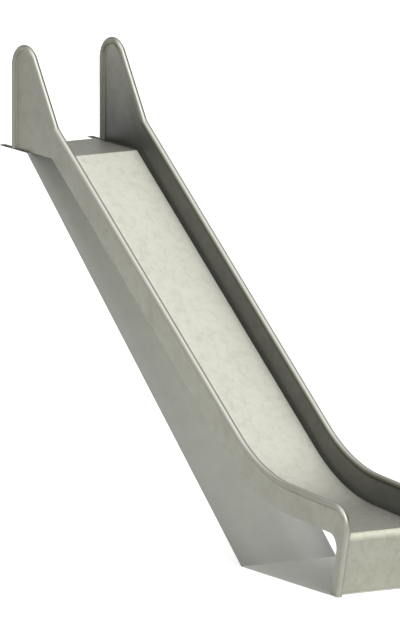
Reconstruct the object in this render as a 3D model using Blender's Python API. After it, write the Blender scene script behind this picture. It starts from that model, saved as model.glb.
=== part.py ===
"""A straight stainless steel slide for an embankment.

Sheet cheeks stand in the middle of a round edge tube, with a sheet bed between them. A folded back
sheet runs from the base plate on the ground up the bank to a flange under the platform.
The slide points towards -Y, its platform is at +Y, and left is at -X. The origin is in the middle of
the base plate, on its underside.
"""

import math

import bmesh
import bpy
from mathutils import Vector

# Heights above the ground, in metres.
PLATFORM_HEIGHT = 2.0
RAIL_HEIGHT_AT_OUTLET = 0.496
APRON_CLEARANCE = 0.011

# Distances forward of the rear fold of the base plate, in metres.
PLATFORM_BACK = -2.65
PLATFORM_FRONT = -2.174
EAR_BACK = -2.60
EAR_TOP_START = 2.468
LEG_FOOT = 1.035
TAB_BACK = -2.753

# Angles from the level, in radians.
EAR_FRONT = math.radians(55.8)
SLOPE = math.radians(34.9)
RUNOUT = math.radians(3.2)
LEG = math.radians(75.7)
BACK_SLOPE = math.radians(39.35)

# Cross section, in metres.
CHEEK_SPACING = 0.575
RAIL_RADIUS = 0.020
SHEET = 0.003
CHEEK_DEPTH = 0.163
RUNOUT_DEPTH = 0.158
LEG_CHEEK_DEPTH = 0.0814
APRON_SETBACK = 0.064
FOOT_WIDTH = 0.019
GAP = 0.0003

# Radii of the bends, in metres, those of the rail on its middle line.
EAR_TOP_RADIUS = 0.12
EAR_FOOT_RADIUS = 0.10
BOTTOM_RADIUS = 1.10
OUTLET_RADIUS = 0.12
PLATFORM_FOLD_RADIUS = 0.020
NOSE_RADIUS = 0.045
CUTOUT_RADIUS = 0.08
BACK_FOLD_RADIUS = 0.012
BEND_LEAD = 0.004

# How finely the bends are drawn.
ARC_STEP = math.radians(8.0)
LONG_ARC_STEP = math.radians(2.7)
LONG_RADIUS = 0.5
TUBE_SIDES = 16

BASE_FRONT = LEG_FOOT - RAIL_RADIUS / math.sin(LEG) - GAP
BASE_MIDDLE = BASE_FRONT / 2
CHEEK_SIDE = CHEEK_SPACING / 2
CHEEK_INNER = CHEEK_SIDE - SHEET / 2 - GAP
FOOT_INNER = CHEEK_INNER - FOOT_WIDTH
BED_SIDE = FOOT_INNER - GAP
BACK_SIDE = CHEEK_SIDE + RAIL_RADIUS
SIDES = {"left": -1, "right": 1}


def down(angle):
    """The direction forward and down at this angle."""
    return Vector((math.cos(angle), -math.sin(angle)))


def right_of(direction):
    return Vector((direction.y, -direction.x))


def meet(point, direction, other, other_direction):
    """The point where two lines cross."""
    along = (other - point).cross(other_direction) / direction.cross(other_direction)
    return point + direction * along


def beside(route, distance):
    """The route that runs parallel to this one, this far to its right."""
    corners, radii = route
    ways = [(after - before).normalized() for before, after in zip(corners, corners[1:])]
    starts = [corner + right_of(way) * distance for corner, way in zip(corners, ways)]
    moved = [starts[0]]
    for start, way, next_start, next_way in zip(starts, ways, starts[1:], ways[1:]):
        moved.append(meet(start, way, next_start, next_way))
    moved.append(corners[-1] + right_of(ways[-1]) * distance)
    turns = [way.cross(next_way) for way, next_way in zip(ways, ways[1:])]
    return moved, [radius + math.copysign(distance, turn) for radius, turn in zip(radii, turns)]


def arc(first, way, radius, turn):
    """Points on an arc that leaves a point in a direction and turns by an angle, left if positive."""
    step = LONG_ARC_STEP if radius > LONG_RADIUS else ARC_STEP
    count = max(2, math.ceil(abs(turn) / step))
    spoke = right_of(way) * math.copysign(radius, turn)
    centre = first - spoke
    points = []
    for index in range(count + 1):
        angle = turn * index / count
        points.append(centre + Vector((
            spoke.x * math.cos(angle) - spoke.y * math.sin(angle),
            spoke.x * math.sin(angle) + spoke.y * math.cos(angle),
        )))
    return points


def stretches(route):
    """A route's straight and curved stretches in turn, each a list of points."""
    corners, radii = route
    found = []
    start = corners[0]
    for before, corner, after, radius in zip(corners, corners[1:], corners[2:], radii):
        way = (corner - before).normalized()
        next_way = (after - corner).normalized()
        turn = math.atan2(way.cross(next_way), way.dot(next_way))
        reach = radius * math.tan(abs(turn) / 2)
        curve = arc(corner - way * reach, way, radius, turn)
        found.append([start, curve[0]])
        found.append(curve)
        start = curve[-1]
    found.append([start, corners[-1]])
    return found


def joined(*parts):
    """Stretches that follow each other as one list, with half a gap taken off each end."""
    points = [point.copy() for point in parts[0]]
    for part in parts[1:]:
        points += [point.copy() for point in part[1:]]
    points[0] += (points[1] - points[0]).normalized() * GAP / 2
    points[-1] += (points[-2] - points[-1]).normalized() * GAP / 2
    return points


def with_leads(line, first, last):
    """The stretches from first to last as one list. Each bend keeps a short straight lead at its ends,
    taken off the straights beside it, so that a tube cut there has square ends."""
    points = [line[first][0]]
    for stretch in line[first:last + 1]:
        points += stretch[1:]
    if first % 2:
        before = line[first - 1]
        points.insert(0, points[0] - (before[1] - before[0]).normalized() * BEND_LEAD)
    elif first > 0:
        points[0] = points[0] + (points[1] - points[0]).normalized() * BEND_LEAD
    if last % 2:
        after = line[last + 1]
        points.append(points[-1] + (after[1] - after[0]).normalized() * BEND_LEAD)
    elif last < len(line) - 1:
        points[-1] = points[-1] + (points[-2] - points[-1]).normalized() * BEND_LEAD
    return points


def ended_at(points, height):
    """The points, with the last one moved along its line to this height."""
    last, before = points[-1], points[-2]
    reach = (height - before.y) / (last.y - before.y)
    return points[:-1] + [before + (last - before) * reach]


def rail_route():
    """The middle line of the edge tube, from the foot of the ear to the foot of the leg."""
    slope_way = down(SLOPE)
    fold = Vector((PLATFORM_FRONT, PLATFORM_HEIGHT))
    on_slope = fold - right_of(slope_way) * CHEEK_DEPTH
    ear_top = Vector((EAR_BACK + EAR_TOP_RADIUS, EAR_TOP_START))
    on_ear_front = ear_top - right_of(down(EAR_FRONT)) * EAR_TOP_RADIUS
    foot = Vector((EAR_BACK, PLATFORM_HEIGHT - SHEET))
    leg_up = Vector((math.cos(LEG), math.sin(LEG)))
    leg_foot = Vector((LEG_FOOT, 0.0))
    outlet = leg_foot + leg_up * RAIL_HEIGHT_AT_OUTLET / leg_up.y
    corners = [
        foot,
        meet(foot, Vector((0.0, 1.0)), on_ear_front, down(EAR_FRONT)),
        meet(on_ear_front, down(EAR_FRONT), on_slope, slope_way),
        meet(on_slope, slope_way, outlet, down(RUNOUT)),
        outlet,
        leg_foot,
    ]
    return corners, [EAR_TOP_RADIUS, EAR_FOOT_RADIUS, BOTTOM_RADIUS, OUTLET_RADIUS]


def bed_route(rail):
    """The top of the bed, from the back of the platform over the nose to the foot of the apron."""
    outlet, leg_foot = rail[0][4], rail[0][5]
    leg_down = (leg_foot - outlet).normalized()
    fold = Vector((PLATFORM_FRONT, PLATFORM_HEIGHT))
    on_runout = outlet + right_of(down(RUNOUT)) * RUNOUT_DEPTH
    on_apron = outlet + right_of(leg_down) * APRON_SETBACK
    corners = [
        Vector((PLATFORM_BACK, PLATFORM_HEIGHT)),
        fold,
        meet(fold, down(SLOPE), on_runout, down(RUNOUT)),
        meet(on_runout, down(RUNOUT), on_apron, leg_down),
        meet(on_apron, leg_down, Vector((0.0, APRON_CLEARANCE)), Vector((1.0, 0.0))),
    ]
    return corners, [PLATFORM_FOLD_RADIUS, BOTTOM_RADIUS + CHEEK_DEPTH, NOSE_RADIUS]


def cutout_route(rail, under):
    """The lower edge of the cheek along the outlet and down the back of the leg."""
    runout_start, leg_foot = under[4][0], rail[0][5]
    leg_down = (leg_foot - rail[0][4]).normalized()
    rear = leg_foot + right_of(leg_down) * LEG_CHEEK_DEPTH
    corner = meet(runout_start, down(RUNOUT), rear, leg_down)
    return [runout_start, corner, rear], [CUTOUT_RADIUS]


def back_route():
    """The underside of the base plate, the back of the sloping sheet and the underside of its flange."""
    flange = PLATFORM_HEIGHT - SHEET - GAP - SHEET
    corners = [
        Vector((BASE_FRONT, 0.0)),
        Vector((0.0, 0.0)),
        Vector((-flange / math.tan(BACK_SLOPE), flange)),
        Vector((PLATFORM_BACK, flange)),
    ]
    return corners, [BACK_FOLD_RADIUS, BACK_FOLD_RADIUS]


def clear_scene():
    for obj in list(bpy.data.objects):
        bpy.data.objects.remove(obj, do_unlink=True)


def new_collection(name):
    collection = bpy.data.collections.new(name)
    bpy.context.scene.collection.children.link(collection)
    return collection


def steel(name, colour, roughness):
    """A stainless steel finish."""
    material = bpy.data.materials.new(name)
    material.use_nodes = True
    shader = material.node_tree.nodes["Principled BSDF"]
    shader.inputs["Base Color"].default_value = (*colour, 1.0)
    shader.inputs["Roughness"].default_value = roughness
    shader.inputs["Metallic"].default_value = 1.0
    return material


def add_part(name, data, collection, holder, material):
    data.materials.append(material)
    obj = bpy.data.objects.new(name, data)
    collection.objects.link(obj)
    obj.parent = holder
    return obj


def plate(name, upper, lower, low, high, collection, holder, material):
    """A flat piece seen from the side: the outline between two edges, from one x to another."""
    curve = bpy.data.curves.new(name, "CURVE")
    curve.dimensions = "2D"
    curve.fill_mode = "BOTH"
    curve.extrude = (high - low) / 2
    outline = upper + lower[::-1]
    spline = curve.splines.new("POLY")
    spline.points.add(len(outline) - 1)
    for target, point in zip(spline.points, outline):
        target.co = (BASE_MIDDLE - point.x, point.y, 0.0, 1.0)
    spline.use_cyclic_u = True
    obj = add_part(name, curve, collection, holder, material)
    obj.location.x = (high + low) / 2
    obj.rotation_euler = (math.radians(90), 0.0, math.radians(90))
    return obj


def tube(name, points, side, collection, holder, material):
    """A round bar along points of the side view, in the plane of a cheek."""
    curve = bpy.data.curves.new(name, "CURVE")
    curve.dimensions = "3D"
    curve.bevel_depth = RAIL_RADIUS
    curve.bevel_resolution = (TUBE_SIDES - 4) // 2
    curve.use_fill_caps = True
    spline = curve.splines.new("POLY")
    spline.points.add(len(points) - 1)
    for target, point in zip(spline.points, points):
        target.co = (0.0, BASE_MIDDLE - point.x, point.y, 1.0)
    obj = add_part(name, curve, collection, holder, material)
    obj.location.x = side * CHEEK_SIDE
    return obj


def to_mesh(obj):
    """Replaces a curve object by a welded mesh of the same shape, and returns the new object."""
    bpy.context.view_layer.update()
    graph = bpy.context.evaluated_depsgraph_get()
    mesh = bpy.data.meshes.new_from_object(obj.evaluated_get(graph))
    welder = bmesh.new()
    welder.from_mesh(mesh)
    bmesh.ops.remove_doubles(welder, verts=welder.verts, dist=0.00001)
    welder.to_mesh(mesh)
    welder.free()
    name, collection, holder = obj.name, obj.users_collection[0], obj.parent
    place = obj.matrix_world.copy()
    bpy.data.objects.remove(obj, do_unlink=True)
    solid = bpy.data.objects.new(name, mesh)
    collection.objects.link(solid)
    solid.parent = holder
    solid.matrix_world = place
    return solid


def ground_cutter(collection):
    """A block below the ground, which trims the leg tubes level."""
    bpy.ops.mesh.primitive_cube_add(size=1.0, location=(0.0, BASE_MIDDLE - LEG_FOOT, -0.05))
    block = bpy.context.object
    block.name = "ground_cutter"
    block.scale = (1.0, 0.3, 0.1)
    for other in block.users_collection:
        other.objects.unlink(block)
    collection.objects.link(block)
    block.hide_render = True
    block.display_type = "WIRE"
    return block


def add_rails(rail, parts, holder, ground, finish):
    """The edge tube of each cheek, in the lengths that are bent and butt welded."""
    line = stretches(rail)
    line[8] = ended_at(line[8], -RAIL_RADIUS)
    lengths = {
        "ear_back_tube": (0, 0),
        "ear_top_bend": (1, 1),
        "ear_front_tube": (2, 3),
        "slope_tube": (4, 4),
        "bottom_bend_tube": (5, 5),
        "runout_tube": (6, 6),
        "outlet_bend_tube": (7, 7),
        "leg_tube": (8, 8),
    }
    for word, side in SIDES.items():
        for name, (first, last) in lengths.items():
            points = joined(with_leads(line, first, last))
            obj = tube(f"{name}_{word}", points, side, parts, holder, finish)
            if name == "leg_tube":
                trim = to_mesh(obj).modifiers.new("ground", "BOOLEAN")
                trim.operation = "DIFFERENCE"
                trim.object = ground


def add_cheeks(inner, under, cutout, parts, holder, finish):
    """The sheet of each cheek, from the tube down to the underside of the bed."""
    top, low, edge = stretches(inner), stretches(under), stretches(cutout)
    standing = SHEET + GAP
    pieces = {
        "ear_plate": (joined(*top[0:4]), joined(low[1])),
        "slope_cheek": (joined(top[4]), joined(low[2])),
        "bend_cheek": (joined(top[5]), joined(low[3])),
        "runout_cheek": (joined(top[6], top[7]), joined(edge[0], edge[1])),
        "leg_cheek": (
            ended_at(joined(top[8]), standing),
            ended_at(joined(edge[2]), standing),
        ),
    }
    for word, side in SIDES.items():
        middle = side * CHEEK_SIDE
        low_x, high_x = middle - SHEET / 2, middle + SHEET / 2
        for name, (upper, lower) in pieces.items():
            plate(f"{name}_{word}", upper, lower, low_x, high_x, parts, holder, finish)


def add_feet(bed, under, parts, holder, finish):
    """The foot of each cheek, turned in at bed level, which carries the edge of the bed."""
    top, low = stretches(bed), stretches(under)
    front_of_tube = EAR_BACK + RAIL_RADIUS + GAP
    top_start = Vector((front_of_tube, top[0][0].y))
    low_start = Vector((front_of_tube, low[0][0].y))
    pieces = {
        "platform_foot": (joined([top_start, top[0][1]]), joined([low_start, low[0][1]])),
        "slope_foot": (joined(top[1], top[2]), joined(low[1], low[2])),
        "bend_foot": (joined(top[3], top[4]), joined(low[3], low[4])),
    }
    for word, side in SIDES.items():
        low_x, high_x = sorted((side * FOOT_INNER, side * CHEEK_INNER))
        for name, (upper, lower) in pieces.items():
            plate(f"{name}_{word}", upper, lower, low_x, high_x, parts, holder, finish)


def add_bed(bed, under, parts, holder, finish):
    """The bed between the feet, and the nose and apron between the cheeks."""
    top, low = stretches(bed), stretches(under)
    pieces = {
        "platform_plate": (joined(top[0]), joined(low[0]), BED_SIDE),
        "slope_bed": (joined(top[1], top[2]), joined(low[1], low[2]), BED_SIDE),
        "bend_bed": (joined(top[3]), joined(low[3]), BED_SIDE),
        "runout_bed": (joined(top[4]), joined(low[4]), BED_SIDE),
        "nose": (joined(top[5]), joined(low[5]), CHEEK_INNER),
        "apron": (joined(top[6]), joined(low[6]), CHEEK_INNER),
    }
    for name, (upper, lower, side) in pieces.items():
        plate(name, upper, lower, -side, side, parts, holder, finish)


def add_back(parts, holder, finish):
    """The base plate, the sloping back sheet, its top flange and the tabs behind the ears."""
    back = back_route()
    outer, inner = stretches(back), stretches(beside(back, SHEET))
    pieces = {
        "base_plate": (joined(outer[0]), joined(inner[0])),
        "back_sheet": (joined(*outer[1:4]), joined(*inner[1:4])),
        "top_flange": (joined(outer[4]), joined(inner[4])),
    }
    for name, (lower, upper) in pieces.items():
        plate(name, upper, lower, -BACK_SIDE, BACK_SIDE, parts, holder, finish)
    for word, side in SIDES.items():
        tab_low = [outer[4][1], Vector((TAB_BACK, outer[4][1].y))]
        tab_high = [inner[4][1], Vector((TAB_BACK, inner[4][1].y))]
        low_x, high_x = sorted((side * (BACK_SIDE - 2 * RAIL_RADIUS), side * BACK_SIDE))
        plate(f"anchor_tab_{word}", joined(tab_high), joined(tab_low), low_x, high_x, parts, holder, finish)


def main():
    clear_scene()
    parts = new_collection("embankment_slide")
    cutters = new_collection("cutters")
    cutters.hide_render = True
    holder = bpy.data.objects.new("slide", None)
    parts.objects.link(holder)

    rail = rail_route()
    inner = beside(rail, RAIL_RADIUS + GAP)
    bed = bed_route(rail)
    under = beside(bed, SHEET)
    cutout = cutout_route(rail, stretches(under))

    add_rails(rail, parts, holder, ground_cutter(cutters), steel("tube_steel", (0.62, 0.62, 0.59), 0.30))
    add_cheeks(inner, under, cutout, parts, holder, steel("cheek_steel", (0.50, 0.50, 0.47), 0.42))
    add_feet(bed, under, parts, holder, steel("foot_steel", (0.30, 0.30, 0.28), 0.50))
    add_bed(bed, under, parts, holder, steel("bed_steel", (0.66, 0.66, 0.60), 0.38))
    add_back(parts, holder, steel("back_steel", (0.50, 0.50, 0.48), 0.45))


main()
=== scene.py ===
"""Dresses a packed embankment slide: fine steel surfaces, finishes, floor, light and camera.

Every surface is worked out with numpy from the slide's side view, which is drawn in metres as
distance forward of the rear fold of the base plate and height above the ground.
"""

import math

import bpy
import numpy as np
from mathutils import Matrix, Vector


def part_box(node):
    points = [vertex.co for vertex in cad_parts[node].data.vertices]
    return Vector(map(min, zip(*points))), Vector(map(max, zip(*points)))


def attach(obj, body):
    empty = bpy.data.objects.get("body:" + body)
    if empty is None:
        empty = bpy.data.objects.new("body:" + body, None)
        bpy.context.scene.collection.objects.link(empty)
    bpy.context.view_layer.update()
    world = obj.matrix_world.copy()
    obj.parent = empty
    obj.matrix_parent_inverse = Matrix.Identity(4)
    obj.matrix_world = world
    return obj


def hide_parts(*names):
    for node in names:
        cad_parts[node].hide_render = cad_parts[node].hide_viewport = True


bl_info = {
    "name": "Embankment Slide",
    "version": (1, 0, 0),
    "blender": (4, 5, 0),
    "location": "3D View > Sidebar > Slide",
    "description": "Builds the steel surfaces of an embankment slide round its packed frame",
    "category": "Add Mesh",
}

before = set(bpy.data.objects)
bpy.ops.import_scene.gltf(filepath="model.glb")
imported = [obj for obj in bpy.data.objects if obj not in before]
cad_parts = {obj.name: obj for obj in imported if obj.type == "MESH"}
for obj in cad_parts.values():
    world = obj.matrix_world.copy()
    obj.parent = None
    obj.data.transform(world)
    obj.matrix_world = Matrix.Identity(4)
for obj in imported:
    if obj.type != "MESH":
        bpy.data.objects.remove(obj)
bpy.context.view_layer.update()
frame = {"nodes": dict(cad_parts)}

BODY = "root"
SIDES = {"left": -1, "right": 1}

# Room left above the base plate and in front of the ear's rear tube
HAIRLINE = 0.0003
# The visible tube is this much smaller in radius, so that it stays inside the solid's flat faces
TUBE_INSET = 0.0002

# Radii of the bends in the side view
EAR_TOP_RADIUS = 0.12
EAR_FOOT_RADIUS = 0.10
BOTTOM_RADIUS = 1.10
OUTLET_RADIUS = 0.12
PLATFORM_FOLD_RADIUS = 0.020
NOSE_RADIUS = 0.045
CUTOUT_RADIUS = 0.08
BACK_FOLD_RADIUS = 0.012

# How many stretches of the tube go round the ear, and how many of the bed's line lie before the nose
EAR_STRETCHES = 4
BED_STRETCHES = 5

# How finely the curves are divided, and the angle above which an edge stays sharp
SPACING = 0.04
BEND_STEP = math.radians(3.0)
FINE_STEP = math.radians(2.0)
CORNER_STEPS = 3
CREASE = math.radians(40)

# What the steel's colour is multiplied by where it is clean and where it is smudged
CLEAN_TINT = (1.03, 1.03, 1.03)
STAIN_TINT = (0.44, 0.42, 0.30)
# The apron is a little warmer than the bed
APRON_TINT = (1.0, 1.0, 0.95)
BLACK = (0.0, 0.0, 0.0, 1.0)
WHITE = (1.0, 1.0, 1.0, 1.0)
# Heights of the waves in the sheet and of the fine lines in its surface
WAVE_HEIGHT = 0.004
LINE_HEIGHT = 0.00002


def node_box(name):
    """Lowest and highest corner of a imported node, as arrays."""
    low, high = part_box(name)
    return np.array(low), np.array(high)


BASE_LOW, BASE_HIGH = node_box("base_plate")
PLATFORM_HIGH = node_box("platform_plate")[1]
TUBE_LOW, TUBE_HIGH = node_box("slope_tube_right")
TAB_LOW, TAB_HIGH = node_box("anchor_tab_right")
FOOT_LOW, FOOT_HIGH = node_box("slope_foot_right")
NOSE_HIGH = node_box("nose")[1]
FRONT = -BASE_LOW[1]


class SlideSizes(bpy.types.PropertyGroup):
    """The driving sizes of the slide's side view and cross section."""

    platform_height: bpy.props.FloatProperty(
        name="Platform height", description="Top of the platform above the ground",
        default=float(PLATFORM_HIGH[2]), unit="LENGTH")
    platform_front: bpy.props.FloatProperty(
        name="Platform front", description="Fold between platform and slope, forward of the rear fold",
        default=-2.174, unit="LENGTH")
    ear_back: bpy.props.FloatProperty(
        name="Ear back", description="Middle of the tube behind the ear, forward of the rear fold",
        default=-2.60, unit="LENGTH")
    ear_top_start: bpy.props.FloatProperty(
        name="Ear top start", description="Height where the tube behind the ear starts to turn over",
        default=2.468, unit="LENGTH")
    leg_foot: bpy.props.FloatProperty(
        name="Leg foot", description="Middle of the leg tube on the ground, forward of the rear fold",
        default=1.035, unit="LENGTH")
    rail_at_outlet: bpy.props.FloatProperty(
        name="Tube height at the outlet", description="Where the lines of run-out tube and leg tube cross",
        default=0.496, unit="LENGTH")
    apron_clearance: bpy.props.FloatProperty(
        name="Apron clearance", description="Lower edge of the apron above the ground",
        default=0.0045, unit="LENGTH")
    slope: bpy.props.FloatProperty(
        name="Slope", description="Angle of the slope from the level",
        default=math.radians(34.9), subtype="ANGLE")
    ear_front: bpy.props.FloatProperty(
        name="Ear front", description="Angle of the ear's front edge from the level",
        default=math.radians(55.8), subtype="ANGLE")
    runout: bpy.props.FloatProperty(
        name="Run-out", description="Fall of the run-out from the level",
        default=math.radians(3.2), subtype="ANGLE")
    leg: bpy.props.FloatProperty(
        name="Leg", description="Angle of the leg from the level",
        default=math.radians(75.7), subtype="ANGLE")
    back_slope: bpy.props.FloatProperty(
        name="Back slope", description="Angle of the back sheet from the level",
        default=math.radians(39.35), subtype="ANGLE")
    cheek_side: bpy.props.FloatProperty(
        name="Cheek side", description="Middle of a cheek sheet, sideways from the slide's middle",
        default=float((TUBE_LOW[0] + TUBE_HIGH[0]) / 2), unit="LENGTH")
    tube_radius: bpy.props.FloatProperty(
        name="Tube radius", description="Outer radius of the edge tube",
        default=float((TUBE_HIGH[0] - TUBE_LOW[0]) / 2) - TUBE_INSET, unit="LENGTH")
    sheet: bpy.props.FloatProperty(
        name="Sheet", description="Thickness of every sheet",
        default=float(BASE_HIGH[2] - BASE_LOW[2]), unit="LENGTH")
    cheek_depth: bpy.props.FloatProperty(
        name="Cheek depth", description="Tube middle to bed on the slope, square to the slope",
        default=0.163, unit="LENGTH")
    runout_depth: bpy.props.FloatProperty(
        name="Run-out depth", description="Tube middle to bed on the run-out",
        default=0.158, unit="LENGTH")
    leg_cheek_depth: bpy.props.FloatProperty(
        name="Leg cheek depth", description="Leg tube middle to the rear edge of the leg sheet",
        default=0.0814, unit="LENGTH")
    apron_setback: bpy.props.FloatProperty(
        name="Apron setback", description="Leg tube middle to the face of the apron",
        default=0.064, unit="LENGTH")
    edge_rounding: bpy.props.FloatProperty(
        name="Edge rounding", description="Radius of the broken edges of the sheets",
        default=0.0009, unit="LENGTH")
    fillet: bpy.props.FloatProperty(
        name="Ground weld", description="Radius of the ground weld between tube and cheek",
        default=0.005, unit="LENGTH")


class SlideFinish(bpy.types.PropertyGroup):
    """Colours of the steel and strength of the studio light."""

    # The cheeks are coloured far darker than the bed, and the bed near white: partly their finishes,
    # partly painted shade on the cheeks' sides and painted light on the bed
    cheek_colour: bpy.props.FloatVectorProperty(
        name="Cheeks", description="Mill finish of the cheeks", subtype="COLOR", size=3,
        min=0.0, max=1.0, default=(0.272, 0.273, 0.227))
    bed_colour: bpy.props.FloatVectorProperty(
        name="Bed", description="Satin finish of the bed", subtype="COLOR", size=3,
        min=0.0, max=1.0, default=(0.98, 0.987, 0.858))
    tube_colour: bpy.props.FloatVectorProperty(
        name="Edge tubes", description="Polished finish of the tubes", subtype="COLOR", size=3,
        min=0.0, max=1.0, default=(0.85, 0.85, 0.775))
    # Near-black colour of the cheek feet: painted shade of the corner beside the bed
    corner_shade_colour: bpy.props.FloatVectorProperty(
        name="Feet", description="Shade-darkened corner beside the bed", subtype="COLOR", size=3,
        min=0.0, max=1.0, default=(0.085, 0.085, 0.075))
    back_colour: bpy.props.FloatVectorProperty(
        name="Back sheet", description="Plain cool sheet behind and below", subtype="COLOR", size=3,
        min=0.0, max=1.0, default=(0.90, 0.913, 0.880))
    tab_colour: bpy.props.FloatVectorProperty(
        name="Anchor tabs", description="Dull dark straps", subtype="COLOR", size=3,
        min=0.0, max=1.0, default=(0.12, 0.12, 0.12))
    overhead: bpy.props.FloatProperty(
        name="Overhead light", description="Soft light from above, to the right and in front",
        default=0.48, min=0.0)
    all_round: bpy.props.FloatProperty(
        name="Light all round", description="Even light from every side", default=0.34, min=0.0)
    floor_glow: bpy.props.FloatProperty(
        name="Floor glow", description="Light given off by the floor", default=0.55, min=0.0)


def sizes():
    """The sizes in the scene."""
    return bpy.context.scene.slide_sizes


def finish():
    """The colours and light strengths in the scene."""
    return bpy.context.scene.slide_finish


# Side view routes: each is a list of corners and the radius of the bend at each inner corner


def way_down(angle):
    """Forward and down at an angle."""
    return np.array([math.cos(angle), -math.sin(angle)])


def right_of(ways):
    """The direction a quarter turn clockwise: (f, z) becomes (z, -f)."""
    return np.stack([ways[..., 1], -ways[..., 0]], axis=-1)


def cross(a, b):
    """The cross product of two directions in the side view, positive for a left turn."""
    return a[0] * b[1] - a[1] * b[0]


def meet(point, way, other, other_way):
    """Where two lines cross: point + way * t with t from the cross products."""
    return point + way * (cross(other - point, other_way) / cross(way, other_way))


def unit(vector):
    """A vector divided by its length."""
    return vector / np.linalg.norm(vector)


def beside(route, distance):
    """The parallel route this far to the right: shifted lines meet in the new corners, and each
    radius grows in a left turn and shrinks in a right turn."""
    corners, radii = route
    ways = [unit(b - a) for a, b in zip(corners, corners[1:])]
    lines = [(corner + right_of(way) * distance, way) for corner, way in zip(corners, ways)]
    inner = [meet(*line, *after) for line, after in zip(lines, lines[1:])]
    last = corners[-1] + right_of(ways[-1]) * distance
    grown = [
        radius + math.copysign(distance, cross(way, after))
        for radius, way, after in zip(radii, ways, ways[1:])
    ]
    return [lines[0][0], *inner, last], grown


def stretches(route, spacing=SPACING, step=BEND_STEP):
    """A route's straights and bends in turn, each as (points, ways). A bend is
    centre + R(turn * t) (first - centre) for t from 0 to 1."""
    corners, radii = route
    found = []
    start = corners[0]
    for before, corner, after, radius in zip(corners, corners[1:], corners[2:], radii):
        way, next_way = unit(corner - before), unit(after - corner)
        turn = math.atan2(cross(way, next_way), way @ next_way)
        first = corner - way * radius * math.tan(abs(turn) / 2)
        found.append(straight(start, first, spacing))
        turned = turn * np.linspace(0, 1, max(3, math.ceil(abs(turn) / step)) + 1)
        spoke = right_of(way) * math.copysign(radius, turn)
        points = first - spoke + rotated(spoke, turned)
        found.append((points, rotated(way, turned)))
        start = points[-1]
    found.append(straight(start, corners[-1], spacing))
    return found


def straight(start, end, spacing=SPACING):
    """The points start + (end - start) * t at even steps, with their ways."""
    count = max(1, math.ceil(np.linalg.norm(end - start) / spacing))
    points = start + np.linspace(0, 1, count + 1)[:, None] * (end - start)
    return points, np.tile(unit(end - start), (count + 1, 1))


def rotated(vector, angles):
    """A vector turned by each angle: (x cos - y sin, x sin + y cos)."""
    cos, sin = np.cos(angles), np.sin(angles)
    return np.stack([vector[0] * cos - vector[1] * sin, vector[0] * sin + vector[1] * cos], axis=1)


def chained(pairs):
    """Pairs of arrays joined end to end as one pair, such as the (points, ways) of stretches. Where
    two meet, the shared point is kept once."""
    return tuple(
        np.concatenate([pairs[0][row]] + [pair[row][1:] for pair in pairs[1:]]) for row in (0, 1)
    )


def rail_route():
    """The middle line of the edge tube, from the foot of the ear to the foot of the leg."""
    s = sizes()
    slope, ear_front = way_down(s.slope), way_down(s.ear_front)
    on_slope = np.array([s.platform_front, s.platform_height]) - right_of(slope) * s.cheek_depth
    ear_top = np.array([s.ear_back + EAR_TOP_RADIUS, s.ear_top_start])
    on_ear_front = ear_top - right_of(ear_front) * EAR_TOP_RADIUS
    foot = np.array([s.ear_back, s.platform_height - s.sheet])
    leg_up = np.array([math.cos(s.leg), math.sin(s.leg)])
    leg_foot = np.array([s.leg_foot, 0.0])
    outlet = leg_foot + leg_up * s.rail_at_outlet / leg_up[1]
    corners = [
        foot,
        meet(foot, np.array([0.0, 1.0]), on_ear_front, ear_front),
        meet(on_ear_front, ear_front, on_slope, slope),
        meet(on_slope, slope, outlet, way_down(s.runout)),
        outlet,
        leg_foot,
    ]
    return corners, [EAR_TOP_RADIUS, EAR_FOOT_RADIUS, BOTTOM_RADIUS, OUTLET_RADIUS]


def bed_route(rail):
    """The top of the bed, from the back of the platform over the nose to the foot of the apron."""
    s = sizes()
    outlet, leg_foot = rail[0][-2:]
    leg_down = unit(leg_foot - outlet)
    fold = np.array([s.platform_front, s.platform_height])
    on_runout = outlet + right_of(way_down(s.runout)) * s.runout_depth
    on_apron = outlet + right_of(leg_down) * s.apron_setback
    corners = [
        np.array([FRONT - PLATFORM_HIGH[1], s.platform_height]),
        fold,
        meet(fold, way_down(s.slope), on_runout, way_down(s.runout)),
        meet(on_runout, way_down(s.runout), on_apron, leg_down),
        meet(on_apron, leg_down, np.array([0.0, s.apron_clearance]), np.array([1.0, 0.0])),
    ]
    return corners, [PLATFORM_FOLD_RADIUS, BOTTOM_RADIUS + s.cheek_depth, NOSE_RADIUS]


def cutout_route(rail, runout_start):
    """The lower edge of the cheek along the outlet and down the back of the leg."""
    s = sizes()
    outlet, leg_foot = rail[0][-2:]
    leg_down = unit(leg_foot - outlet)
    rear = leg_foot + right_of(leg_down) * s.leg_cheek_depth
    corner = meet(runout_start, way_down(s.runout), rear, leg_down)
    return [runout_start, corner, rear], [CUTOUT_RADIUS]


def back_route():
    """The underside of the base plate, the back of the sloping sheet and the underside of its flange."""
    s = sizes()
    flange = TAB_LOW[2]
    corners = [
        np.array([FRONT - BASE_LOW[1], 0.0]),
        np.array([0.0, 0.0]),
        np.array([-flange / math.tan(s.back_slope), flange]),
        np.array([FRONT - PLATFORM_HIGH[1], flange]),
    ]
    return corners, [BACK_FOLD_RADIUS, BACK_FOLD_RADIUS]


def front_of_ear_tube():
    """How far forward the tube behind the ear reaches, and a hairline more."""
    s = sizes()
    return s.ear_back + s.tube_radius + HAIRLINE


# Surfaces


def ramp(values, start, end):
    """0 up to start, 1 from end on, and even between; start may be the higher one."""
    return np.clip((values - start) / (end - start), 0, 1)


def hump(values, middle, width):
    """A bell curve, 1 in the middle: exp(-((value - middle) / width) squared)."""
    return np.exp(-((values - middle) / width) ** 2)


def arc(centre, radius, angles):
    """Points of a circle: centre + radius (cos a, sin a)."""
    return np.asarray(centre) + radius * np.stack([np.cos(angles), np.sin(angles)], axis=1)


def in_place(side_view, across):
    """World points from side view points (n, m, 2) and distances across."""
    across = np.broadcast_to(across, side_view.shape[:-1])
    return np.stack([across, FRONT - side_view[..., 0], side_view[..., 1]], axis=-1)


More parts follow.
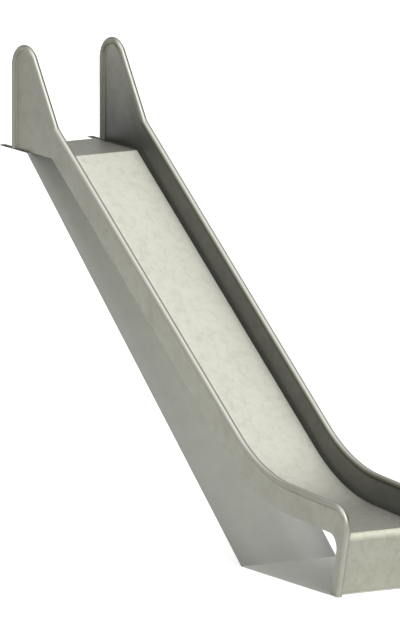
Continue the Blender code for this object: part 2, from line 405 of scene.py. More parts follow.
def carried(points, ways, section):
    """A closed section carried along a path: point + up * height, with up square to the path.
    The section is (m, 2) of distance across and height."""
    up = -right_of(ways)
    side_view = points[:, None, :] + up[:, None, :] * section[None, :, 1:2]
    return in_place(side_view, section[:, 0])


def bar_section(half_width, thickness, rounding, columns):
    """Outline of a flat bar with its top at height 0: the top from left to right, then the
    right corners, the underside back again and the left corners, each a quarter circle."""
    inner = half_width - rounding
    low = rounding - thickness
    spans = [(inner, -rounding, 90), (inner, low, 0), (-inner, low, -90), (-inner, -rounding, 180)]
    corners = [
        arc((across, height), rounding, np.radians(np.linspace(start, start - 90, CORNER_STEPS + 1)))
        for across, height, start in spans
    ]
    across = np.linspace(-1, 1, columns + 2)[1:-1] * inner
    top = np.stack([across, np.zeros(columns)], axis=1)
    below = np.stack([across[::-1], np.full(columns, -thickness)], axis=1)
    return np.concatenate([top, *corners[:2], below, *corners[2:]])


def add_piece(name, rings, material, replaced=(), wear=0.0, painted_shade=0.0):
    """A closed solid from rings (n, m, 3): quads between neighbouring rings, and one face on each
    end, all turned round if the volume, summed from triple products, is negative. The map called
    metres holds distance along and round; wear is for the finish, and painted_shade holds how
    much painted shade darkens the colour, low where a highlight is painted."""
    if not np.isfinite(rings).all():
        raise RuntimeError(f"the sizes leave no shape for {name}")
    n, m = rings.shape[:2]
    number = np.arange(n * m).reshape(n, m)
    following = np.roll(number, -1, axis=1)
    quads = np.stack([number[:-1], following[:-1], following[1:], number[1:]], axis=-1).reshape(-1, 4)
    corners = rings.reshape(-1, 3)
    ends = [number[0][::-1], number[-1]]
    first, second, third, fourth = np.moveaxis(corners[quads] - corners.mean(0), 1, 0)
    volume = (first * (np.cross(second, third) + np.cross(third, fourth))).sum()
    if volume < 0:
        quads, ends = quads[:, ::-1], [end[::-1] for end in ends]
    mesh = bpy.data.meshes.new(name)
    mesh.from_pydata(corners.tolist(), [], quads.tolist() + [end.tolist() for end in ends])
    mesh.update()
    add_metres(mesh, rings)
    for word, values in {"wear": wear, "painted_shade": painted_shade}.items():
        layer = mesh.attributes.new(word, "FLOAT", "POINT")
        values = np.broadcast_to(values, (n, m)).reshape(-1)
        layer.data.foreach_set("value", values.astype(np.float32))
    mesh.shade_smooth()
    mesh.set_sharp_from_angle(angle=CREASE)
    mesh.materials.append(material)
    obj = bpy.data.objects.new(name, mesh)
    bpy.context.scene.collection.objects.link(obj)
    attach(obj, BODY)
    if replaced:
        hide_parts(*replaced)


def add_metres(mesh, rings):
    """Distance along the piece and round its middle ring, as a UV map."""
    along = lengths(rings.mean(1))
    round_it = lengths(rings[len(rings) // 2])
    flat = np.stack(np.meshgrid(along, round_it, indexing="ij"), axis=-1).reshape(-1, 2)
    numbers = np.empty(len(mesh.loops), np.int32)
    mesh.loops.foreach_get("vertex_index", numbers)
    layer = mesh.uv_layers.new(name="metres")
    layer.data.foreach_set("uv", flat[numbers].astype(np.float32).reshape(-1))


def lengths(line):
    """The length of a line up to each of its points, summed from the steps between them."""
    return np.cumsum(np.linalg.norm(np.diff(line, axis=0, prepend=line[:1]), axis=1))


def matched(upper, lower):
    """Two lines given the same number of points: both are read at every share of length at which
    either has a point."""
    shares = [lengths(line) / lengths(line)[-1] for line in (upper, lower)]
    every = np.unique(np.round(np.concatenate(shares), 6))
    return [
        np.stack([np.interp(every, share, line[:, axis]) for axis in (0, 1)], axis=1)
        for share, line in zip(shares, (upper, lower))
    ]


def levelled(before, last, height):
    """A last point or ring moved along its last step until it is at a height."""
    step = last - before
    moved = before + step * (height - before[..., -1:]) / step[..., -1:]
    moved[..., -1] = height
    return moved


def fall(ways):
    """The angle of a path below the level, one per station."""
    return np.arctan2(-ways[:, 1:2], ways[:, 0:1])


def levelness(ways):
    """1 where a path is level or climbs, down to 0 where it is as steep as the slope."""
    return 1 - np.clip(fall(ways) / sizes().slope, 0, 1)


def sided(word, *names):
    """Node names with left or right at their end."""
    return [f"{name}_{word}" for name in names]


# Finishes


class Wire:
    """A shader socket that takes part in Python sums; each sum adds a Math node."""

    def __init__(self, finish_tree, socket):
        self.tree = finish_tree
        self.socket = socket

    def maths(self, operation, *others, clamp=False):
        """One Math node that has this socket as its first value."""
        values = dict(enumerate((self, *others)))
        return self.tree.node("ShaderNodeMath", {"operation": operation, "use_clamp": clamp}, values)

    def __add__(self, other):
        return self.maths("ADD", other)

    __radd__ = __add__

    def __sub__(self, other):
        return self.maths("SUBTRACT", other)

    def __rsub__(self, other):
        return self.tree.node("ShaderNodeMath", {"operation": "SUBTRACT"}, {0: other, 1: self})

    def __mul__(self, other):
        return self.maths("MULTIPLY", other)

    __rmul__ = __mul__

    def __pow__(self, other):
        return self.maths("POWER", other)

    def within(self, low, high):
        """0 below low, 1 above high, smooth between."""
        settings = {"interpolation_type": "SMOOTHSTEP"}
        return self.tree.node("ShaderNodeMapRange", settings, {"Value": self, 1: low, 2: high})


class FinishTree:
    """Adds nodes to one node tree."""

    def __init__(self, node_tree):
        self.nodes = node_tree.nodes
        self.links = node_tree.links

    def node(self, kind, settings=None, values=None, output=0):
        """One node: its settings first, then the values or links of its sockets."""
        made = self.nodes.new(kind)
        for name, value in (settings or {}).items():
            setattr(made, name, value)
        for socket, value in (values or {}).items():
            self.give(made.inputs[socket], value)
        return Wire(self, made.outputs[output])

    def give(self, socket, value):
        """Links a wire to a socket, or sets the socket's own value."""
        if isinstance(value, Wire):
            self.links.new(value.socket, socket)
        else:
            socket.default_value = value

    def noise(self, place, scale, detail, roughness, distortion=0.0):
        """Noise between 0 and 1."""
        values = {"Vector": place, "Scale": scale, "Detail": detail,
                  "Roughness": roughness, "Distortion": distortion}
        return self.node("ShaderNodeTexNoise", {"normalize": True}, values)

    def stretched(self, place, scale, move=(0.0, 0.0, 0.0)):
        """A place multiplied axis by axis and moved."""
        values = {"Vector": place, "Scale": scale, "Location": move}
        return self.node("ShaderNodeMapping", {"vector_type": "POINT"}, values)

    def mixed(self, share, first, second):
        """A colour between two, by share."""
        settings = {"data_type": "RGBA", "blend_type": "MIX"}
        return self.node("ShaderNodeMix", settings, {0: share, 6: first, 7: second}, output=2)


def tinted(colour, tint):
    """A colour multiplied by a tint, channel by channel and at most 1, with full alpha."""
    return (*(min(1.0, channel * factor) for channel, factor in zip(colour, tint)), 1.0)


def steel(name, colour, roughness, mottle, smudge, grain, waves,
          metallic=0.4, shade_strength=0.0, roughening=0.0, shade_colour=BLACK):
    """Weathered steel. Broad clouds and two sizes of smudges darken it by mottle and smudge, fine
    lines run along the piece by grain, and it is slightly wavy. Where wear is high it is smoother
    and shows thin bright scratches. Where painted_shade is high, painted shade mixes the colour by
    shade_strength towards shade_colour and roughens it by roughening."""
    material = bpy.data.materials.new(name)
    material.use_nodes = True
    tree = FinishTree(material.node_tree)
    shader = tree.nodes["Principled BSDF"]
    place = tree.node("ShaderNodeTexCoord", output=3)
    metres = tree.node("ShaderNodeUVMap", {"uv_map": "metres"})
    worn = tree.node("ShaderNodeAttribute", {"attribute_name": "wear"}, output=2)
    painted_shade = tree.node("ShaderNodeAttribute", {"attribute_name": "painted_shade"}, output=2)

    clouds = tree.noise(place, scale=6.0, detail=3.0, roughness=0.55).within(0.38, 0.68)
    longer = tree.stretched(place, (1.2, 0.8, 0.9))
    blotches = tree.noise(longer, scale=22.0, detail=2.0, roughness=0.55, distortion=0.25)
    blotches = blotches.within(0.42, 0.74)
    moved = tree.stretched(place, (1.1, 0.8, 1.0), move=(3.1, 1.7, 0.4))
    specks = tree.noise(moved, scale=46.0, detail=2.0, roughness=0.55).within(0.44, 0.80)
    rolled = tree.stretched(metres, (3.0, 620.0, 1.0))
    lines = tree.noise(rolled, scale=1.0, detail=3.0, roughness=0.65)
    rubbed = tree.stretched(metres, (1.1, 95.0, 1.0), move=(7.0, 2.0, 0.0))
    scratches = tree.noise(rubbed, scale=1.0, detail=1.0, roughness=0.5)
    scratch = 1 - (scratches - 0.5).maths("ABSOLUTE").within(0.0, 0.006)

    # Colour: the marks summed up, with bright scratches, then the painted shade over them
    marks = clouds * mottle + blotches * smudge + specks * (smudge * 0.6) + (lines - 0.5) * grain
    share = (marks - scratch * worn * 0.05 + 0.02).maths("MULTIPLY", 1.6, clamp=True)
    stained = tree.mixed(share, tinted(colour, CLEAN_TINT), tinted(colour, STAIN_TINT))
    base = tree.mixed(painted_shade.maths("MULTIPLY", shade_strength, clamp=True), stained, shade_colour)
    rough = roughness + clouds * 0.05 + blotches * 0.06 - worn * 0.05 + (lines - 0.5) * 0.06
    rough = rough - scratch * worn * 0.06 + painted_shade * roughening
    tree.give(shader.inputs["Base Color"], base)
    tree.give(shader.inputs["Roughness"], rough)
    tree.give(shader.inputs["Metallic"], metallic)

    # Relief in metres
    broad = tree.noise(place, scale=2.6, detail=1.0, roughness=0.4)
    narrow = tree.noise(place, scale=9.0, detail=1.0, roughness=0.4)
    swell = broad * waves + narrow * (waves * 0.12)
    relief = swell * WAVE_HEIGHT + lines * LINE_HEIGHT
    bump = tree.node("ShaderNodeBump", None, {"Strength": 1.0, "Distance": 1.0, "Height": relief})
    tree.give(shader.inputs["Normal"], bump)
    return material


# Pieces


class SLIDE_OT_edge_tubes(bpy.types.Operator):
    """Add the polished round tube along the top edge of each cheek"""

    bl_idname = "slide.edge_tubes"
    bl_label = "Edge Tubes"
    bl_options = {"REGISTER", "UNDO"}

    facets = 48
    # Angles round the tube, from the right over the top, where the painted shade and the painted highlight
    # change
    crown_at = math.radians(112)
    crown_lean = math.radians(6)
    crown_left_width = 0.45
    crown_right_width = 0.34
    front_rim_at = math.radians(50)
    top_rim_at = math.radians(80)
    rim_width = 0.40
    under = (math.radians(165), math.radians(165) + 0.44)
    # Pitches and heights between which the tube counts as steep, upright or the top of the ear
    steep_pitch = (0.65, 0.95)
    upright_pitch = (1.0, 1.3)
    ear_top_height = (2.50, 2.55)
    plain_shade = 0.665

    def execute(self, context):
        s = sizes()
        points, ways = chained(stretches(rail_route(), step=FINE_STEP))
        angles = np.linspace(0, 2 * math.pi, self.facets, endpoint=False)
        # Painted shade darkens the tube towards this near-black olive, all but the painted highlight on
        # its crown
        material = steel(
            "tube_steel", finish().tube_colour, roughness=0.28, mottle=0.03, smudge=0.03, grain=0.05,
            waves=0.02, metallic=0.5, shade_strength=1.0, roughening=0.32, shade_colour=(0.052, 0.051, 0.022, 1.0))
        for word, side in SIDES.items():
            rings = carried(points, ways, arc((side * s.cheek_side, 0.0), s.tube_radius, angles))
            rings[-1] = levelled(rings[-2], rings[-1], 0.0)
            painted_shade = self.painted_shading(points, ways, angles[None, :], side)
            replaced = sided(word, "ear_back_tube", "ear_top_bend", "ear_front_tube", "slope_tube",
                             "bottom_bend_tube", "runout_tube", "outlet_bend_tube", "leg_tube")
            add_piece(f"edge_tube_{word}", rings, material, replaced, painted_shade=painted_shade)
        return {"FINISHED"}

    def painted_shading(self, points, ways, angles, side):
        """How much painted shade darkens the tube. Its crown carries a painted highlight: a bell curve
        round the tube, which fades where the tube is level, upright or part of the ear. The rest has a
        plain painted shade that changes with the tube's pitch, and more of it underneath, on the face
        turned inwards and along the rims of the ear."""
        level = levelness(ways)
        pitch = np.abs(fall(ways))
        steep = ramp(pitch, *self.steep_pitch)
        upright = ramp(pitch, *self.upright_pitch)
        rising = np.clip(ways[:, 1:2], 0, 1)
        ear_top = level * ramp(points[:, 1:2], *self.ear_top_height)
        off = angles - self.crown_at + self.crown_lean * steep
        left_width = self.crown_left_width - 0.15 * steep
        crown = hump(off, 0.0, np.where(off > 0, left_width, self.crown_right_width))
        painted_highlight = crown * (1 - 0.75 * level) * (1 - 0.90 * upright) * (1 - rising) * (1 - 0.16 * steep)
        painted_highlight = painted_highlight * (1 - ear_top)
        rims = 0.30 * hump(angles, self.front_rim_at, self.rim_width) * steep * (1 - upright)
        rims = rims + 0.25 * hump(angles, self.top_rim_at, self.rim_width) * ear_top
        under = ramp(angles, *self.under) * (1 - steep)
        inwards = np.clip(-side * np.cos(angles), 0, 1)
        shaded = 0.22 * inwards * (1 - rising) * (1 - 0.7 * steep) * (1 - 0.8 * ear_top)
        painted_shade = self.plain_shade + 0.10 * steep - 0.05 * upright + 0.07 * rising + 0.12 * under
        return (1 - painted_highlight) * np.minimum(painted_shade + shaded + rims, 1)


class SLIDE_OT_cheeks(bpy.types.Operator):
    """Add the flat sheet of each cheek, from the ear down the slope and round to the leg"""

    bl_idname = "slide.cheeks"
    bl_label = "Cheeks"
    bl_options = {"REGISTER", "UNDO"}

    columns = 12
    buried = 0.003
    worn_depth = 0.06
    # Heights above the platform, and for the outlet above the ground, where the painted shade changes
    inside_shade_fades = (0.14, 0.54)
    inside_darkest = 0.05
    ear_starts = (-0.9, 0.1)
    outlet_starts = (0.8, 0.4)

    def execute(self, context):
        s = sizes()
        rail = rail_route()
        top = stretches(beside(rail, s.tube_radius - self.buried))
        under = stretches(beside(bed_route(rail), s.sheet))
        uppers = [chained(top[:EAR_STRETCHES])[0], *(points for points, ways in top[EAR_STRETCHES:])]
        lowers = self.lower_line(rail, under)
        for lines in (uppers, lowers):
            lines[-1] = lines[-1].copy()
            lines[-1][-1] = levelled(lines[-1][-2], lines[-1][-1], s.sheet + HAIRLINE)
        upper, lower = chained([matched(*pair) for pair in zip(uppers, lowers)])
        # Painted shade darkens the cheek towards near-black: the inner face, and the outer face towards
        # the ear
        material = steel(
            "cheek_steel", finish().cheek_colour, roughness=0.42, mottle=0.05, smudge=0.06,
            grain=0.04, waves=0.25, shade_strength=0.585, shade_colour=(0.0, 0.0, 0.009, 1.0))
        for word, side in SIDES.items():
            rings, wear, painted_shade = self.rings(upper, lower, side)
            replaced = sided(word, "ear_plate", "slope_cheek", "bend_cheek", "runout_cheek", "leg_cheek")
            add_piece(f"cheek_{word}", rings, material, replaced, wear, painted_shade)
        return {"FINISHED"}

    @staticmethod
    def lower_line(rail, under):
        """The lower edge of the cheek, stretch by stretch, to pair with the tube's stretches."""
        platform, fold, slope, bend, runout = (points for points, ways in under[:BED_STRETCHES])
        ear = np.concatenate([[[front_of_ear_tube(), platform[0, 1]]], fold])
        cutout = stretches(cutout_route(rail, runout[0]))
        return [ear, slope, bend, *(points for points, ways in cutout)]

    def rings(self, upper, lower, side):
        """Each ring runs down the inner face from the upper to the lower line, round the broken
        lower edge and up the outer face: point = upper + down * depth, at a distance across."""
        s = sizes()
        half, edge = s.sheet / 2, s.edge_rounding
        length = np.linalg.norm(lower - upper, axis=1)[:, None]
        length = np.maximum(length, 4 * edge)
        down = (lower - upper) / length
        share = np.linspace(0, 1, self.columns)[None, :] * (length - edge)
        angles = np.linspace(0, math.pi / 2, CORNER_STEPS + 1)[1:]
        turn = length - edge + edge * np.sin(angles)[None, :]
        depth = np.concatenate([share, turn, turn[:, ::-1], share[:, ::-1]], axis=1)
        flat = np.full(self.columns, half)
        bend = half - edge + edge * np.cos(angles)
        inwards = np.concatenate([flat, bend, -bend[::-1], -flat])
        across = side * (s.cheek_side - inwards)
        side_view = upper[:, None, :] + down[:, None, :] * depth[..., None]
        painted_shade = self.painted_shading(side_view[..., 1], inwards > 0)
        wear = ramp(depth, self.worn_depth, 0.0)
        return in_place(side_view, across[None, :]), wear, painted_shade

    def painted_shading(self, height, inner):
        """How much painted shade darkens the sheet. The inner face carries painted shade, most just
        above the platform, which fades up the ear. The outer face has a little painted shade that
        grows up to the ear, and a little more by the outlet."""
        above = height - sizes().platform_height
        inside = 1 - 0.62 * ramp(above, *self.inside_shade_fades)
        inside = inside + 0.22 * hump(above, self.inside_darkest, 0.12)
        ear = ramp(above, *self.ear_starts) ** 1.7
        outlet = ramp(height, *self.outlet_starts)
        return np.where(inner, inside, 0.37 * ear + 0.10 * outlet)


class SLIDE_OT_ground_welds(bpy.types.Operator):
    """Add the smooth ground weld between each tube and its cheek, on both faces"""

    bl_idname = "slide.ground_welds"
    bl_label = "Ground Welds"
    bl_options = {"REGISTER", "UNDO"}

    steps = 7
    # Shares of the half sheet and of the tube's radius at which the buried corners lie
    into_sheet = 0.4
    into_tube = 0.9
    # Which way each face looks from the middle of the sheet, and its painted shade
    face_shading = {"outer": (1, 0.87), "inner": (-1, 0.80)}
    # Heights between which the welds' painted shade fades out towards the top of the ear
    shade_heights = (2.25, 2.05)

    def execute(self, context):
        s = sizes()
        points, ways = chained(stretches(rail_route()))
        material = steel(
            "weld_steel", finish().cheek_colour, roughness=0.70, mottle=0.05, smudge=0.04,
            grain=0.05, waves=0.02, shade_strength=0.56)
        low = ramp(points[:, 1:2], *self.shade_heights)
        rising = ways[:, 1:2] > 0.5
        for word, side in SIDES.items():
            for face, (outwards, painted_shading) in self.face_shading.items():
                section = self.profile() * np.array([outwards * side, 1.0])
                section[:, 0] += side * s.cheek_side
                rings = carried(points, ways, section)
                rings[-1] = levelled(rings[-2], rings[-1], s.sheet + HAIRLINE)
                # The welds carry painted shade below the top of the ear, none where the tube climbs
                painted_shade = np.where(rising, 0.0, painted_shading * low)
                add_piece(f"ground_weld_{face}_{word}", rings, material, painted_shade=painted_shade)
        return {"FINISHED"}

    def profile(self):
        """The hollow of the weld, an arc that touches the tube and the sheet, and two corners
        buried in the sheet and the tube. The arc's middle is a fillet's radius off both."""
        s = sizes()
        half = s.sheet / 2
        reach = math.sqrt((s.tube_radius + s.fillet) ** 2 - (half + s.fillet) ** 2)
        start = math.atan2(reach, -(half + s.fillet))
        angles = np.linspace(start, math.pi, self.steps)
        hollow = arc((half + s.fillet, -reach), s.fillet, angles)
        deep = half * self.into_sheet
        return np.concatenate([hollow, [[deep, -reach], [deep, -s.tube_radius * self.into_tube]]])


class SLIDE_OT_bed(bpy.types.Operator):
    """Add the bed from the platform to the outlet, and the nose and apron below it"""

    bl_idname = "slide.bed"
    bl_label = "Bed"
    bl_options = {"REGISTER", "UNDO"}

    columns = 23
    lane_share = 0.72
    lane_shade = 0.36
    platform_from = 1.9
    platform_shade = 0.93
    # Pitches round the nose where the level ends and the apron begins
    level_pitch = (0.35, 0.0)
    apron_pitch = (0.55, 1.55)
    nose_shade = 0.23
    apron_shade = 0.98
    apron_foot = 0.035

    def execute(self, context):
        line = stretches(bed_route(rail_route()), step=FINE_STEP)
        self.add_bed(line)
        self.add_nose_and_apron(line)
        return {"FINISHED"}

    def add_bed(self, line):
        """The level parts carry painted shade, as they face the light less. A lane down the middle,
        exp(-(across / lane width) to the fourth), is worn; on the slope it also carries a little
        painted shade, which leaves the edges beside the cheeks painted lighter against the cheeks' shade."""
        s = sizes()
        half_width = PLATFORM_HIGH[0]
        material = steel(
            "bed_steel", finish().bed_colour, roughness=0.38, mottle=0.03, smudge=0.10,
            grain=0.03, waves=0.30, shade_strength=0.554)
        section = bar_section(half_width, s.sheet, s.edge_rounding, self.columns)
        points, ways = chained(line[:BED_STRETCHES])
        lane = np.exp(-(section[None, :, 0] / (self.lane_share * half_width)) ** 4)
        on_platform = points[:, 1:2] > self.platform_from
        level = levelness(ways) * np.where(on_platform, self.platform_shade, 1.0)
        painted_shade = np.maximum(level, self.lane_shade * lane)
        replaced = ["platform_plate", "slope_bed", "bend_bed", "runout_bed"]
        rings = carried(points, ways, section)
        add_piece("bed", rings, material, replaced, lane, painted_shade)

    def add_nose_and_apron(self, line):
        """The painted shade is full on the level, thin round the nose and grows down the apron, set by
        the pitch. Near the ground it is less: painted light against the shade at the apron's foot."""
        s = sizes()
        material = steel(
            "apron_steel", tinted(finish().bed_colour, APRON_TINT), roughness=0.55, mottle=0.05,
            smudge=0.09, grain=0.03, waves=0.20, shade_strength=0.668)
        section = bar_section(NOSE_HIGH[0], s.sheet, s.edge_rounding, self.columns)
        points, ways = chained(line[BED_STRETCHES:])
        level = ramp(fall(ways), *self.level_pitch)
        down = ramp(fall(ways), *self.apron_pitch)
        painted_shade = np.maximum(level, self.nose_shade + (self.apron_shade - self.nose_shade) * down)
        painted_shade = painted_shade - 0.28 * np.exp(-points[:, 1:2] / self.apron_foot)
        rings = carried(points, ways, section)
        add_piece("nose_and_apron", rings, material, ["nose", "apron"], painted_shade=painted_shade)


class SLIDE_OT_feet(bpy.types.Operator):
    """Add the turned-in foot of each cheek, and the welds in the corners beside bed and apron"""

    bl_idname = "slide.feet"
    bl_label = "Cheek Feet"
    bl_options = {"REGISTER", "UNDO"}

    steps = 6
    cove = 0.006
    recess = 0.0006
    weld_shade = 0.93

    def execute(self, context):
        s = sizes()
        line = stretches(bed_route(rail_route()), step=FINE_STEP)
        line[0] = straight(np.array([front_of_ear_tube(), s.platform_height]), line[0][0][-1])
        # The foot is drawn near-black as painted shade of the corner beside the bed
        material = steel(
            "foot_steel", finish().corner_shade_colour, roughness=0.50, mottle=0.15, smudge=0.12,
            grain=0.04, waves=0.10)
        bed, apron = chained(line[:BED_STRETCHES]), chained(line[BED_STRETCHES:])
        for word, side in SIDES.items():
            mirror = np.array([side, 1.0])
            rings = carried(*bed, self.foot_section() * mirror)
            replaced = sided(word, "platform_foot", "slope_foot", "bend_foot")
            add_piece(f"cheek_foot_{word}", rings, material, replaced)
            # The apron welds carry painted shade of the corner between apron and leg
            rings = carried(*apron, self.weld_section() * mirror)
            weld_steel = bpy.data.materials["apron_steel"]
            add_piece(f"apron_weld_{word}", rings, weld_steel, painted_shade=self.weld_shade)
        return {"FINISHED"}

    def hollow(self, outer, radius, height):
        """A hollow quarter circle in the corner at a distance across, its middle at a height."""
        angles = np.radians(np.linspace(-90, 0, self.steps))
        return arc((outer - radius, height), radius, angles)

    def foot_section(self):
        """The foot, a little below the bed, with the hollow weld that fills its corner."""
        s = sizes()
        inner, outer = FOOT_LOW[0], FOOT_HIGH[0]
        rest = [[outer, -s.sheet], [inner, -s.sheet], [inner, -self.recess]]
        return np.concatenate([self.hollow(outer, self.cove, self.cove - self.recess), rest])

    def weld_section(self):
        """The hollow weld between apron and leg, and the corners hidden in the apron's sheet."""
        s = sizes()
        outer = NOSE_HIGH[0]
        rest = [[outer, -s.sheet / 2], [outer - s.fillet, -s.sheet / 2]]
        return np.concatenate([self.hollow(outer, s.fillet, s.fillet), rest])


class SLIDE_OT_back_sheet(bpy.types.Operator):
    """Add the folded sheet: base plate, sloping back and top flange"""

    bl_idname = "slide.back_sheet"
    bl_label = "Back Sheet"
    bl_options = {"REGISTER", "UNDO"}

    columns = 9
    spacing = 0.06
    flange_shade = 0.85
    plate_shade = 0.233
    # Where the base plate's painted shade ends in front of the apron, forward of the rear fold, and
    # where the painted shade of the edges starts, as a share of the half width
    unshaded_plate = (0.95, 0.97)
    edge_share = (0.5, 1.0)
    ground_shade_height = 0.2

    def execute(self, context):
        s = sizes()
        points, ways = chained(stretches(back_route(), spacing=self.spacing))
        section = bar_section(BASE_HIGH[0], s.sheet, s.edge_rounding, self.columns)
        section[:, 1] = -section[:, 1] - s.sheet
        material = steel(
            "back_steel", finish().back_colour, roughness=0.46, mottle=0.03, smudge=0.02,
            grain=0.03, waves=0.35, shade_strength=1.0)
        painted_shade = self.painted_shading(points, ways, section[None, :, 0])
        replaced = ["base_plate", "back_sheet", "top_flange"]
        rings = carried(points, ways, section)
        add_piece("folded_back_sheet", rings, material, replaced, painted_shade=painted_shade)
        return {"FINISHED"}

    def painted_shading(self, points, ways, across):
        """How much painted shade darkens the sheet. The base plate carries a little, but not in front
        of the apron. The sloping part has more towards its edges and its foot, and the flange under
        the platform has most."""
        forward, height = points[:, 0:1], points[:, 1:2]
        sloping = np.abs(ways[:, 1:2]) / math.sin(sizes().back_slope)
        edge = ramp(np.abs(across) / BASE_HIGH[0], *self.edge_share)
        ground_shade = 0.20 * np.exp(-height / self.ground_shade_height)
        plate = self.plate_shade * (1 - ramp(forward, *self.unshaded_plate))
        slope = (1 - self.plate_shade) * sloping * (0.10 + 0.30 * edge + ground_shade)
        on_flange = height > TAB_LOW[2] - 0.001
        return np.maximum(plate + slope, np.where(on_flange, self.flange_shade, 0.0))


class SLIDE_OT_anchor_tabs(bpy.types.Operator):
    """Add the dark strap behind each ear, with rounded far corners"""

    bl_idname = "slide.anchor_tabs"
    bl_label = "Anchor Tabs"
    bl_options = {"REGISTER", "UNDO"}

    corner = 0.010
    columns = 3
    turn_steps = 9
    last_turn = 78

    def execute(self, context):
        """The strap narrows in a quarter circle: half - corner (1 - sqrt(1 - into squared))."""
        s = sizes()
        reach = TAB_HIGH[1] - TAB_LOW[1]
        half = (TAB_HIGH[0] - TAB_LOW[0]) / 2
        middle = (TAB_HIGH[0] + TAB_LOW[0]) / 2
        turn = np.radians(np.linspace(0, self.last_turn, self.turn_steps))
        stations = np.concatenate([[0.0], reach - self.corner + self.corner * np.sin(turn), [reach]])
        into = ramp(stations, reach - self.corner, reach)
        widths = half - self.corner * (1 - np.sqrt(1 - into ** 2))
        section = bar_section(1.0, s.sheet, s.edge_rounding, self.columns)
        material = steel(
            "tab_steel", finish().tab_colour, roughness=0.55, mottle=0.20, smudge=0.15,
            grain=0.05, waves=0.05)
        for word, side in SIDES.items():
            across = side * middle + section[None, :, 0] * widths[:, None]
            deep = np.broadcast_to(TAB_LOW[1] + stations[:, None], across.shape)
            high = np.broadcast_to(section[None, :, 1] + TAB_HIGH[2], across.shape)
            rings = np.stack([across, deep, high], axis=-1)
            add_piece(f"strap_{word}", rings, material, sided(word, "anchor_tab"))
        return {"FINISHED"}


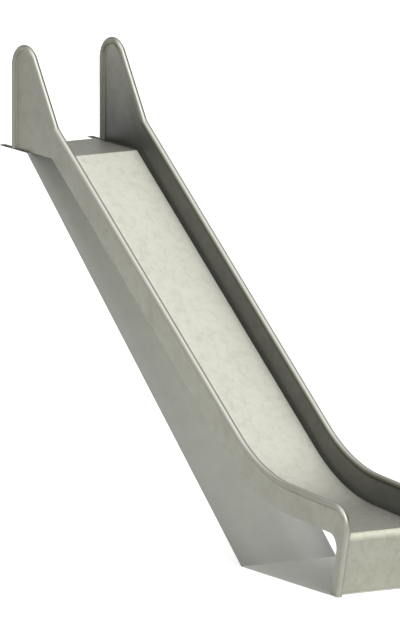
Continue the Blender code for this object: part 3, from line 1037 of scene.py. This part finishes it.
class SLIDE_OT_studio(bpy.types.Operator):
    """Add the pale floor, the soft light and the camera"""

    bl_idname = "slide.studio"
    bl_label = "Studio"
    bl_options = {"REGISTER", "UNDO"}

    lens = 1000.0
    sensor = 36.0
    azimuth = math.radians(-30)
    elevation = math.radians(10)
    target = (0.0088, 1.5163, 1.2304)
    seen = 3.5836
    floor_half = 60.0
    floor_drop = 0.0008
    floor_grey = 0.84

    overhead_from = (0.500, -0.250, 0.829)
    suns = {
        "sun_front_high": ((0.15, -0.60, 0.78), 50, 0.67),
        "sun_front_low": ((-0.10, -0.93, 0.35), 40, 1.64),
        "sun_left_low": ((-0.95, -0.20, 0.25), 40, 1.03),
    }

    def execute(self, context):
        self.add_floor()
        self.add_sky()
        self.add_suns()
        self.add_camera()
        return {"FINISHED"}

    def add_floor(self):
        """A pale plane just below the slide, which glows a little so that it shows white."""
        place = (0.0, 0.0, -self.floor_drop)
        bpy.ops.mesh.primitive_plane_add(size=2 * self.floor_half, location=place)
        floor = bpy.context.object
        floor.name = "floor"
        material = bpy.data.materials.new("pale_floor")
        material.use_nodes = True
        shader = material.node_tree.nodes["Principled BSDF"]
        shader.inputs["Base Color"].default_value = (*[self.floor_grey] * 3, 1.0)
        shader.inputs["Roughness"].default_value = 1.0
        shader.inputs["Specular IOR Level"].default_value = 0.0
        shader.inputs["Emission Color"].default_value = WHITE
        shader.inputs["Emission Strength"].default_value = finish().floor_glow
        floor.data.materials.append(material)

    def add_sky(self):
        """Even light all round, and more by the fourth power of the cosine from one way overhead.
        The camera itself sees plain white."""
        world = bpy.data.worlds.new("studio")
        bpy.context.scene.world = world
        world.use_nodes = True
        tree = FinishTree(world.node_tree)
        direction = tree.node("ShaderNodeTexCoord", output=0)
        settings = {"operation": "DOT_PRODUCT"}
        values = {0: direction, 1: self.overhead_from}
        cosine = tree.node("ShaderNodeVectorMath", settings, values, output=1).maths("MAXIMUM", 0.0)
        light = cosine ** 4.0 * finish().overhead + finish().all_round
        seen = tree.node("ShaderNodeLightPath", output=0)
        tree.give(tree.nodes["Background"].inputs["Strength"], light + seen * (1 - light))
        tree.give(tree.nodes["Background"].inputs["Color"], WHITE)

    def add_suns(self):
        """Three wide soft lights: the way to each, its spread in degrees and its strength. The low
        front one is not mirrored in the steel, or the bed would burn out when seen from above."""
        for name, (way, spread, strength) in self.suns.items():
            data = bpy.data.lights.new(name, "SUN")
            data.energy = strength
            data.angle = math.radians(spread)
            light = bpy.data.objects.new(name, data)
            light.rotation_euler = Vector(way).to_track_quat("Z", "Y").to_euler()
            light.visible_glossy = name != "sun_front_low"
            bpy.context.scene.collection.objects.link(light)

    def add_camera(self):
        """A long lens far away, so that parallel edges stay parallel: the distance is the height
        seen times lens over sensor."""
        data = bpy.data.cameras.new("camera")
        data.lens = self.lens
        data.sensor_width = self.sensor
        data.sensor_fit = "AUTO"
        camera = bpy.data.objects.new("camera", data)
        bpy.context.scene.collection.objects.link(camera)
        away = Vector((
            math.sin(self.azimuth) * math.cos(self.elevation),
            -math.cos(self.azimuth) * math.cos(self.elevation),
            math.sin(self.elevation),
        ))
        distance = self.seen * self.lens / self.sensor
        camera.location = Vector(self.target) + away * distance
        camera.rotation_euler = away.to_track_quat("Z", "Y").to_euler()
        data.clip_start = 1.0
        data.clip_end = distance * 3
        bpy.context.scene.camera = camera
        bpy.context.scene.view_settings.view_transform = "Standard"


class SLIDE_PT_panel(bpy.types.Panel):
    """Sizes, finishes and pieces of the slide"""

    bl_idname = "SLIDE_PT_panel"
    bl_label = "Embankment Slide"
    bl_space_type = "VIEW_3D"
    bl_region_type = "UI"
    bl_category = "Slide"

    def draw(self, context):
        column = self.layout.column()
        for group in (context.scene.slide_sizes, context.scene.slide_finish):
            for name in group.bl_rna.properties.keys():
                if name not in {"rna_type", "name"}:
                    column.prop(group, name)
        for operator in OPERATORS:
            column.operator(operator.bl_idname)


OPERATORS = (
    SLIDE_OT_edge_tubes,
    SLIDE_OT_cheeks,
    SLIDE_OT_ground_welds,
    SLIDE_OT_bed,
    SLIDE_OT_feet,
    SLIDE_OT_back_sheet,
    SLIDE_OT_anchor_tabs,
    SLIDE_OT_studio,
)
CLASSES = (SlideSizes, SlideFinish, *OPERATORS, SLIDE_PT_panel)


def register():
    """Registers the classes and gives the scene its sizes and finish."""
    for cls in CLASSES:
        bpy.utils.register_class(cls)
    bpy.types.Scene.slide_sizes = bpy.props.PointerProperty(type=SlideSizes)
    bpy.types.Scene.slide_finish = bpy.props.PointerProperty(type=SlideFinish)


def unregister():
    """Takes back what register did."""
    del bpy.types.Scene.slide_finish
    del bpy.types.Scene.slide_sizes
    for cls in reversed(CLASSES):
        bpy.utils.unregister_class(cls)


def main():
    if not frame["nodes"]:
        raise RuntimeError("the packed frame holds no nodes")
    register()
    bpy.ops.slide.edge_tubes()
    bpy.ops.slide.cheeks()
    bpy.ops.slide.ground_welds()
    bpy.ops.slide.bed()
    bpy.ops.slide.feet()
    bpy.ops.slide.back_sheet()
    bpy.ops.slide.anchor_tabs()
    bpy.ops.slide.studio()


if __name__ == "__main__":
    main()
